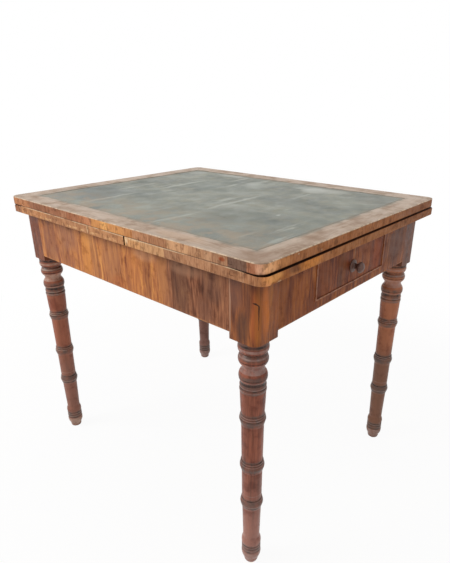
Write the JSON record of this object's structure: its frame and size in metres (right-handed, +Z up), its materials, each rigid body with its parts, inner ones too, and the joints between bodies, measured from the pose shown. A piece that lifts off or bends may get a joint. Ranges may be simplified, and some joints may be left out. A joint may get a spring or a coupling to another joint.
{
  "type": "draw-leaf table",
  "caption": "Rectangular draw-leaf table with a leather-covered lifting top, a sliding leaf at each end, an end drawer and ring-turned legs.",
  "frame": {"origin": "on the floor, at the middle of the table", "axes": "+X towards the drawer end, the way the right leaf draws; +Y across the table, away from its front; +Z up"},
  "size_m": [0.867, 0.696, 0.74],
  "materials": {
    "turned_mahogany": "worn red-brown polish on turned mahogany",
    "apron_veneer": "dark polished veneer with its grain upright",
    "leaf_mahogany": "worn orange-brown polish, chipped at the edges",
    "border_veneer": "faded tan-brown polished crossbanding",
    "green_leather": "faded grey-green writing leather, scuffed",
    "plain_oak": "unpolished oak of the hidden pieces",
    "screw_steel": "dull steel",
    "dark_knob": "dark turned wood, polished",
    "bead_wood": "thin polished mahogany strip"
  },
  "bodies": {
    "frame": {"leg_front_left": "turned_mahogany", "leg_back_left": "turned_mahogany", "leg_front_right": "turned_mahogany", "leg_back_right": "turned_mahogany", "side_apron_front": "apron_veneer", "side_apron_back": "apron_veneer", "end_apron_left": "apron_veneer", "drawer_end_lower_rail": "apron_veneer", "drawer_end_panel_front": "apron_veneer", "drawer_end_panel_back": "apron_veneer", "drawer_end_upper_rail": "apron_veneer", "drawer_opening_beads": "bead_wood", "middle_rail": "plain_oak", "centre_board": "leaf_mahogany", "centre_board_screws": "screw_steel", "glue_blocks": "plain_oak", "drawer_runner_front": "plain_oak", "drawer_runner_back": "plain_oak", "drawer_guide_front": "plain_oak", "drawer_guide_back": "plain_oak", "drawer_stops": "plain_oak", "drawer_kicker": "plain_oak"},
    "right_leaf": {"right_leaf": "leaf_mahogany", "right_leaf_clamp": "leaf_mahogany", "right_bearer_front": "plain_oak", "right_bearer_back": "plain_oak", "right_leaf_stops": "plain_oak", "right_leaf_screws": "screw_steel"},
    "left_leaf": {"left_leaf": "leaf_mahogany", "left_leaf_clamp": "leaf_mahogany", "left_bearer_front": "plain_oak", "left_bearer_back": "plain_oak", "left_leaf_stops": "plain_oak", "left_leaf_screws": "screw_steel"},
    "top": {"top_core": "leaf_mahogany", "top_clamp_left": "leaf_mahogany", "top_clamp_right": "leaf_mahogany", "top_border_front": "border_veneer", "top_border_right": "border_veneer", "top_border_back": "border_veneer", "top_border_left": "border_veneer", "leather_inset": "green_leather", "locating_pegs": "plain_oak"},
    "drawer": {"drawer_front": "apron_veneer", "drawer_side_front": "plain_oak", "drawer_side_back": "plain_oak", "drawer_back": "plain_oak", "drawer_bottom": "plain_oak", "drawer_knob": "dark_knob"}
  },
  "joints": [
    {"name": "right_leaf_draw", "type": "slide", "parent": "frame", "child": "right_leaf", "axis": [0.9985, 0, 0.0544], "range_m": [0, 0.3675]},
    {"name": "left_leaf_draw", "type": "slide", "parent": "frame", "child": "left_leaf", "axis": [-0.9985, 0, 0.0544], "range_m": [0, 0.3676]},
    {"name": "top_lift", "type": "slide", "parent": "frame", "child": "top", "axis": [0, 0, 1], "range_m": [0, 0.0201]},
    {"name": "drawer_slide", "type": "slide", "parent": "frame", "child": "drawer", "axis": [1, 0, 0], "range_m": [0, 0.25]}
  ],
  "couplings": [
    {"joint": "left_leaf_draw", "follows": "right_leaf_draw", "ratio": 1},
    {"joint": "top_lift", "follows": "right_leaf_draw", "ratio": 0.054415}
  ]
}
